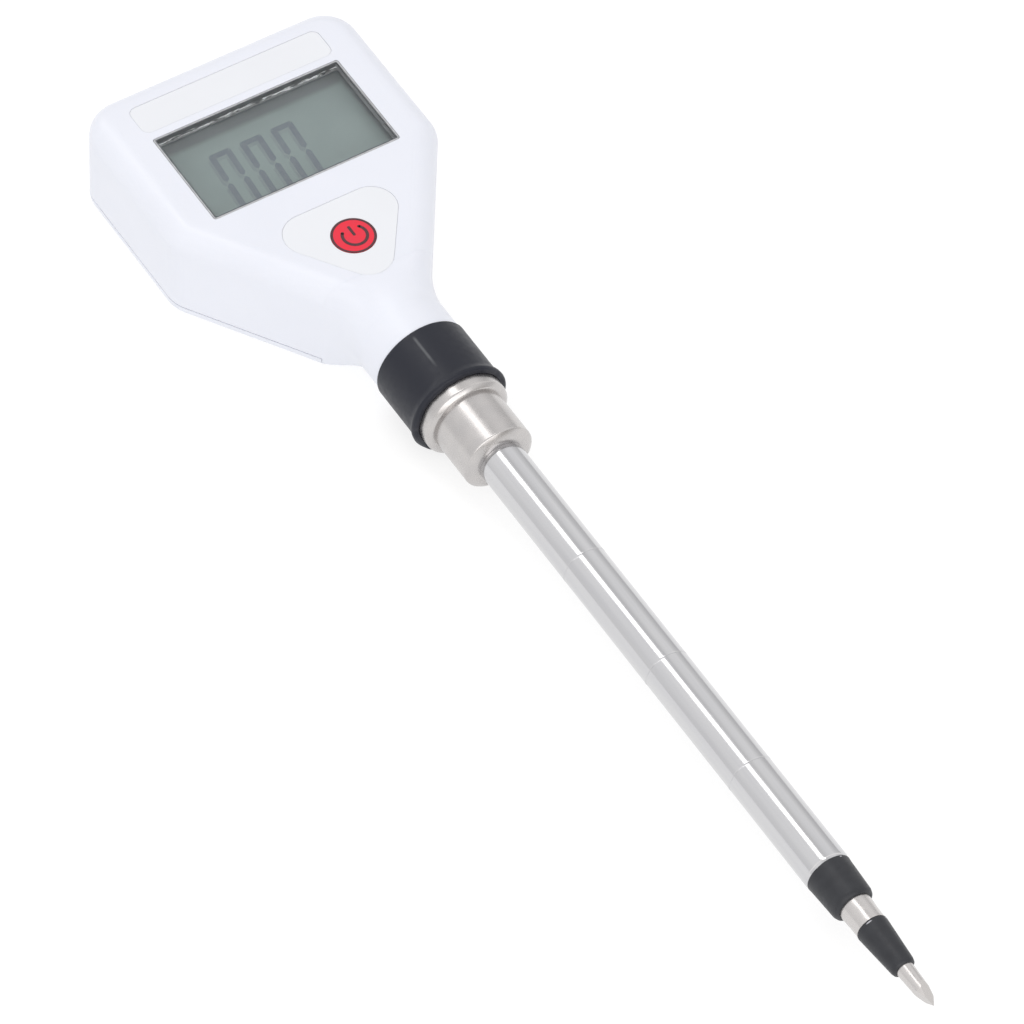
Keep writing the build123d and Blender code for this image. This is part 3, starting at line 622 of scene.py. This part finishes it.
barrel_radius = 8.0 * mm
spigot_radius = 8.2 * mm
seat_radius = 4.72 * mm
flange_radius = fitting_high.x
flange_front = fitting_low.y + 12.2 * mm
fitting = turned(
    "steel_fitting",
    [
        (fitting_high.y, seat_radius),
        (fitting_high.y, spigot_radius),
        (neck_end, spigot_radius),
        (neck_end, flange_radius),
        (flange_front + 0.9 * mm, flange_radius),
        (flange_front, flange_radius - 0.9 * mm),
        (flange_front, barrel_radius),
        (fitting_low.y + 1.1 * mm, barrel_radius),
        (fitting_low.y, barrel_radius - 1.6 * mm),
        (fitting_low.y, seat_radius),
    ],
    turned_steel,
    edge=0.26 * mm,
)
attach(fitting, "handset")
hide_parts("probe_fitting")

# ---- probe tube ----
# Drawn stainless tube, polished along its length, with three fine grooves turned into it as a
# depth scale. Its back end is turned down to seat in the fitting.
TUBE_STEEL = (0.62, 0.62, 0.628, 1)
tube_steel, tree, shader = new_material("tube_steel", TUBE_STEEL, 0.14, metallic=1.0)
draw_lines = grain(tree, 0.1 * mm, stretch=(1, 300, 1), detail=2)
tree.links.new(blend_colours(tree, spread(tree, grain(tree, 1.2 * mm, stretch=(1, 25, 1)), 0, 1),
                             TUBE_STEEL, (0.585, 0.585, 0.60, 1)), shader.inputs["Base Color"])
tree.links.new(spread(tree, grain(tree, 2 * mm, stretch=(1, 6, 1)), 0.11, 0.17), shader.inputs["Roughness"])
relief(tree, shader, draw_lines, 0.0015 * mm, 0.5)

tube_radius = tube_high.x
tube_bore = 4.0 * mm
seat_end = fitting_low.y
first_groove = seat_end - 31.4 * mm
GROOVE_PITCH, GROOVE_WIDTH, GROOVE_DEPTH = 30 * mm, 0.45 * mm, 0.15 * mm
outline = [
    (tube_high.y, tube_bore),
    (tube_high.y, seat_radius - 0.02 * mm),
    (seat_end, seat_radius - 0.02 * mm),
    (seat_end, tube_radius),
]
for count in range(3):
    groove = first_groove - count * GROOVE_PITCH
    outline += [
        (groove + GROOVE_WIDTH / 2, tube_radius),
        (groove, tube_radius - GROOVE_DEPTH),
        (groove - GROOVE_WIDTH / 2, tube_radius),
    ]
outline += [
    (tube_low.y + 1.0 * mm, tube_radius),
    (tube_low.y + 0.1 * mm, tube_radius - 0.17 * mm),
    (tube_low.y, tube_radius - 0.26 * mm),
    (tube_low.y, tube_bore),
]
tube = turned("steel_tube", outline, tube_steel, edge=0.03 * mm)
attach(tube, "handset")
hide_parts("probe_tube")

# ---- insulators of the nose ----
# Two moulded charcoal insulators separate the electrodes: a tapered sleeve plugged into the
# tube, and a cone behind the point. They are satin, with rounded lower edges. Use has left a few
# knocks on their upper rims, and the glints off them are painted as pale spots.
CHARCOAL = (0.0112, 0.0125, 0.0172, 1)
charcoal, tree, shader = new_material("charcoal_insulator", CHARCOAL, 0.46)
sleeve_low, sleeve_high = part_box("insulator_sleeve")
ring_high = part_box("ring_electrode")[1]
cone_low, cone_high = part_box("insulator_cone")
finish = blend_colours(tree, spread(tree, grain(tree, 1.6 * mm), 0, 1), CHARCOAL, (0.0175, 0.0193, 0.0245, 1))
KNOCK_GLINTS = (
    # turn from the top in degrees, place along the probe, radius there, length and width of the mark
    (-21, cone_high.y - 0.5 * mm, cone_high.x, 0.75 * mm, 0.16 * mm),
    (55, cone_high.y - 0.65 * mm, cone_high.x, 0.5 * mm, 0.16 * mm),
    (27, tube_low.y - 0.3 * mm, tube_high.x, 0.35 * mm, 0.14 * mm),
)
place = add_node(tree, "ShaderNodeTexCoord")
for degrees, along, radius, length, width in KNOCK_GLINTS:
    turn = math.radians(degrees)
    centre = (radius * math.sin(turn), along, axis_height + radius * math.cos(turn))
    stretched = add_node(tree, "ShaderNodeMapping")
    stretched.inputs["Location"].default_value = [-value / size for value, size in
                                                  zip(centre, (length, width, length))]
    stretched.inputs["Scale"].default_value = (1 / length, 1 / width, 1 / length)
    tree.links.new(place.outputs["Object"], stretched.inputs["Vector"])
    distance = add_node(tree, "ShaderNodeVectorMath", operation="LENGTH")
    tree.links.new(stretched.outputs["Vector"], distance.inputs[0])
    # each knock's glint is painted as a pale spot in the colour
    knock_glint = spread(tree, distance.outputs["Value"], 1, 0, 0.6, 1.1)
    finish = blend_colours(tree, knock_glint, finish, (0.42, 0.42, 0.45, 1))
tree.links.new(finish, shader.inputs["Base Color"])
tree.links.new(spread(tree, grain(tree, 0.8 * mm), 0.4, 0.55), shader.inputs["Roughness"])
relief(tree, shader, grain(tree, 0.22 * mm, detail=3), 0.012 * mm, 0.8)

stem_radius = 2.42 * mm
rod_bore = 1.02 * mm
sleeve_end = sleeve_low.y + 0.5 * mm
sleeve = turned(
    "nose_sleeve",
    [
        (sleeve_high.y, stem_radius),
        (sleeve_high.y, tube_bore - 0.02 * mm),
        (tube_low.y, tube_bore - 0.02 * mm),
        (tube_low.y, tube_radius - 0.05 * mm),
        (tube_low.y - 0.9 * mm, tube_radius - 0.15 * mm),
        (sleeve_end + 1.1 * mm, 4.55 * mm),
        (sleeve_end + 0.4 * mm, 4.3 * mm),
        (sleeve_end, 3.85 * mm),
        (sleeve_end, stem_radius),
    ],
    charcoal,
    edge=0.08 * mm,
)
cone = turned(
    "nose_cone",
    [
        (cone_high.y, rod_bore),
        (cone_high.y, 3.15 * mm),
        (cone_high.y - 0.15 * mm, 3.36 * mm),
        (cone_high.y - 0.45 * mm, cone_high.x),
        (cone_low.y + 1.0 * mm, 2.62 * mm),
        (cone_low.y + 0.3 * mm, 2.42 * mm),
        (cone_low.y, 2.1 * mm),
        (cone_low.y, rod_bore),
    ],
    charcoal,
    edge=0.05 * mm,
)
for piece, node in ((sleeve, "insulator_sleeve"), (cone, "insulator_cone")):
    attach(piece, "handset")
    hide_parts(node)

# ---- electrodes ----
# The ring electrode and the point are stainless steel. The point is a rod that runs up through
# the nose, and three flats are ground on its end so that it cuts into the soil.
ELECTRODE_STEEL = (0.595, 0.575, 0.565, 1)
electrode_steel, tree, shader = new_material("electrode_steel", ELECTRODE_STEEL, 0.22, metallic=1.0)
tree.links.new(spread(tree, grain(tree, 0.8 * mm), 0.22, 0.32), shader.inputs["Roughness"])
relief(tree, shader, grain(tree, 0.1 * mm, stretch=(30, 1, 30)), 0.002 * mm, 0.6)
ring_front = cone_high.y
ring = turned(
    "ring_band",
    [
        (ring_high.y, 1.62 * mm),
        (ring_high.y, stem_radius - 0.02 * mm),
        (sleeve_end, stem_radius - 0.02 * mm),
        (sleeve_end, ring_high.x),
        ((sleeve_end + ring_front) / 2, 3.3 * mm),
        (ring_front + 0.6 * mm, 3.27 * mm),
        (ring_front, 3.3 * mm),
        (ring_front, 1.62 * mm),
    ],
    electrode_steel,
    edge=0.05 * mm,
)
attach(ring, "handset")
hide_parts("ring_electrode")
dress("tip_electrode", electrode_steel)

# ---- studio ----
# The meter lies on a plain white table under a long softbox, in a bright white tent. The tent
# is a little darker beside the softbox and low down on the right, open low at the front, and
# a bright ridge seam crosses over the head end.
floor_mesh = bmesh.new()
bmesh.ops.create_grid(floor_mesh, x_segments=1, y_segments=1, size=3.0)
bmesh.ops.translate(floor_mesh, verts=floor_mesh.verts, vec=(0, 0, -0.03 * mm))
floor = finish_mesh(floor_mesh, "studio_floor")
floor_white, tree, shader = new_material("floor_white", (0.3, 0.3, 0.3, 1), 0.8)
shader.inputs["Specular IOR Level"].default_value = 0.0
shader.inputs["Emission Color"].default_value = (1, 1, 1, 1)
shader.inputs["Emission Strength"].default_value = 0.74
floor.data.materials.append(floor_white)

world = bpy.data.worlds.new("white_room")
bpy.context.scene.world = world
world.use_nodes = True
tree = world.node_tree
background = tree.nodes["Background"]
direction = add_node(tree, "ShaderNodeTexCoord")
split = add_node(tree, "ShaderNodeSeparateXYZ")
tree.links.new(direction.outputs["Generated"], split.inputs["Vector"])
over = add_node(tree, "ShaderNodeMath", operation="ARCTAN2")
tree.links.new(split.outputs["X"], over.inputs[0])
tree.links.new(split.outputs["Z"], over.inputs[1])
arch = add_node(tree, "ShaderNodeValToRGB")
tree.links.new(spread(tree, over.outputs["Value"], 0, 1, -math.pi / 2, math.pi / 2), arch.inputs["Fac"])
ROOM = ((-90, 0.88), (-75, 0.91), (-48, 1.0), (-28, 1.03), (2, 0.80), (8, 0.74), (18, 0.88), (28, 0.97),
        (50, 1.0), (61, 0.87), (75, 0.75), (90, 0.66))
for count, (angle, light) in enumerate(ROOM):
    stop = arch.color_ramp.elements[count] if count < 2 else arch.color_ramp.elements.new(1.0)
    stop.position = (angle + 90) / 180
    stop.color = (light, light * 0.995, light * 1.0, 1)
front = spread(tree, split.outputs["Y"], 1, 0, -0.8, -0.5)
low_down = spread(tree, split.outputs["Z"], 1, 0, 0.22, 0.45)
gap = add_node(tree, "ShaderNodeMath", operation="MULTIPLY")
tree.links.new(front, gap.inputs[0])
tree.links.new(low_down, gap.inputs[1])
room = blend_colours(tree, gap.outputs["Value"], arch.outputs["Color"], (0.5, 0.48, 0.46, 1))
ridge = add_node(tree, "ShaderNodeMath", operation="MULTIPLY")
tree.links.new(spread(tree, split.outputs["Y"], 0, 1, 0.0, 0.06), ridge.inputs[0])
tree.links.new(spread(tree, split.outputs["Y"], 1, 0, 0.17, 0.24), ridge.inputs[1])
room = blend_colours(tree, ridge.outputs["Value"], room, (1.2, 1.18, 1.16, 1))
tree.links.new(room, background.inputs["Color"])
background.inputs["Strength"].default_value = 1.0

SOFTBOX_WAY = Vector((-0.156, 0.516, 0.842))
SOFTBOX_DISTANCE = 1.3
softbox = bpy.data.lights.new("softbox", "AREA")
softbox.shape = "RECTANGLE"
softbox.size = 0.30
softbox.size_y = 2.2
softbox.energy = 4.0
softbox.color = (1.0, 0.985, 0.972)
softbox_stand = bpy.data.objects.new("softbox", softbox)
bpy.context.scene.collection.objects.link(softbox_stand)
softbox_stand.location = SOFTBOX_WAY * SOFTBOX_DISTANCE
softbox_stand.rotation_euler = SOFTBOX_WAY.to_track_quat("Z", "Y").to_euler()

CARD_WAY = Vector((-0.25, -0.85, 0.46)).normalized()
front_card = bpy.data.lights.new("front_card", "AREA")
front_card.shape = "RECTANGLE"
front_card.size = 2.0
front_card.size_y = 1.1
front_card.energy = 9.0
front_card.color = (1.0, 0.985, 0.972)
card_stand = bpy.data.objects.new("front_card", front_card)
bpy.context.scene.collection.objects.link(card_stand)
card_stand.location = CARD_WAY * 1.6
card_stand.rotation_euler = CARD_WAY.to_track_quat("Z", "Y").to_euler()

# The camera looks down on the display from the point's left.
CAMERA_AZIMUTH, CAMERA_ELEVATION, CAMERA_ROLL = -34.683, 51.113, 3.297
camera_data = bpy.data.cameras.new("camera")
camera_data.sensor_width = 36
camera_data.lens = 255.34
camera_data.clip_start = 0.05
camera_data.clip_end = 50
camera = bpy.data.objects.new("camera", camera_data)
bpy.context.scene.collection.objects.link(camera)
turn = (
    Matrix.Rotation(math.radians(CAMERA_AZIMUTH), 3, "Z")
    @ Matrix.Rotation(math.radians(90 - CAMERA_ELEVATION), 3, "X")
    @ Matrix.Rotation(math.radians(CAMERA_ROLL), 3, "Z")
)
aim = Vector((-5.145, 7.103, 11.4)) * mm
camera.location = aim + turn @ Vector((0, 0, 1449.94 * mm))
camera.rotation_euler = turn.to_euler()
bpy.context.scene.camera = camera
bpy.context.scene.view_settings.view_transform = "Standard"
